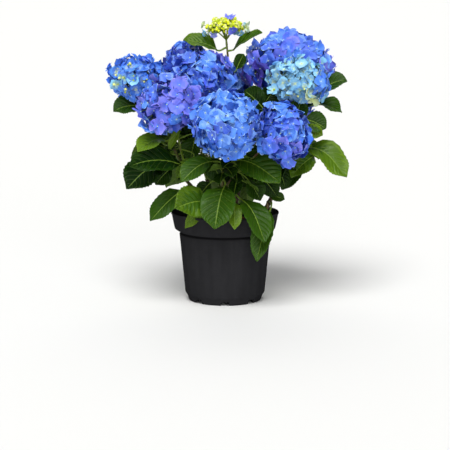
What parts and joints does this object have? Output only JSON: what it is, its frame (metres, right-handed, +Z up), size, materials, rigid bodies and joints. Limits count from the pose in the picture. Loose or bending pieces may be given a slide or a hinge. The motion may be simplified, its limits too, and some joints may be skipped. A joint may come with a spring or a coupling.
{
  "type": "potted hydrangea shrub",
  "caption": "Mophead hydrangea in a round black nursery pot, with domed blue and violet flower heads, one pale and one in bud, over broad toothed green leaves.",
  "frame": {"origin": "on the pot's axis, at the level of the pot's feet", "axes": "+Z up along the pot's axis, -Y towards the front of the plant, +X to its right seen from the front"},
  "size_m": [0.51, 0.4568, 0.6026],
  "materials": {
    "pot_plastic": "moulded matt black, faint vertical streaks",
    "compost": "dark fibrous potting compost with bark chips",
    "stem_bark": "ridged brown-green bark with pale pores",
    "green_stem": "smooth green shoot with small red-brown flecks",
    "leaf": "glossy quilted leaf with sunken veins and toothed margin",
    "foliage": "darker leaves inside the crown",
    "petal_blue": "satin petals, azure in the middle with pale rims",
    "petal_violet": "satin petals, violet-blue with lilac rims",
    "petal_pale": "satin petals, pale aqua opening from cream",
    "flower_bud": "tight yellow-green flower buds"
  },
  "bodies": {
    "root": {"bloom_back": "petal_blue", "bloom_back_left": "petal_blue", "bloom_back_right": "petal_violet", "bloom_far_left": "petal_blue", "bloom_front": "petal_blue", "bloom_front_right": "petal_blue", "bloom_left": "petal_violet", "bloom_middle": "petal_violet", "bloom_pale": "petal_pale", "bloom_top": "flower_bud", "bloom_upper_left": "petal_blue", "bloom_upper_right": "petal_blue", "bough_back": "green_stem", "bough_back_left": "green_stem", "bough_back_right": "green_stem", "bough_far_left": "green_stem", "bough_front": "green_stem", "bough_front_right": "green_stem", "bough_left": "green_stem", "bough_middle": "green_stem", "bough_pale": "green_stem", "bough_top": "green_stem", "bough_upper_left": "green_stem", "bough_upper_right": "green_stem", "compost": "compost", "foliage_back_left": "foliage", "foliage_back_right": "foliage", "foliage_front": "foliage", "foliage_heart": "foliage", "foliage_left": "foliage", "foliage_right": "foliage", "leaf_back_left": "leaf", "leaf_back_middle": "leaf", "leaf_back_right": "leaf", "leaf_back_rim": "leaf", "leaf_inner_front": "leaf", "leaf_inner_left": "leaf", "leaf_left_drooping": "leaf", "leaf_left_large": "leaf", "leaf_left_lower": "leaf", "leaf_left_pale": "leaf", "leaf_left_upper": "leaf", "leaf_right_drooping": "leaf", "leaf_right_middle": "leaf", "leaf_right_under": "leaf", "leaf_right_upper": "leaf", "leaf_rim_centre": "leaf", "leaf_rim_left": "leaf", "leaf_rim_low": "leaf", "leaf_rim_right": "leaf", "leaf_rim_small": "leaf", "leaf_top_left": "leaf", "leaf_top_right": "leaf", "pot": "pot_plastic", "stem_back_left": "stem_bark", "stem_back_right": "stem_bark", "stem_front": "stem_bark", "stem_left": "stem_bark", "stem_middle": "stem_bark", "stem_right": "stem_bark"}
  },
  "joints": []
}
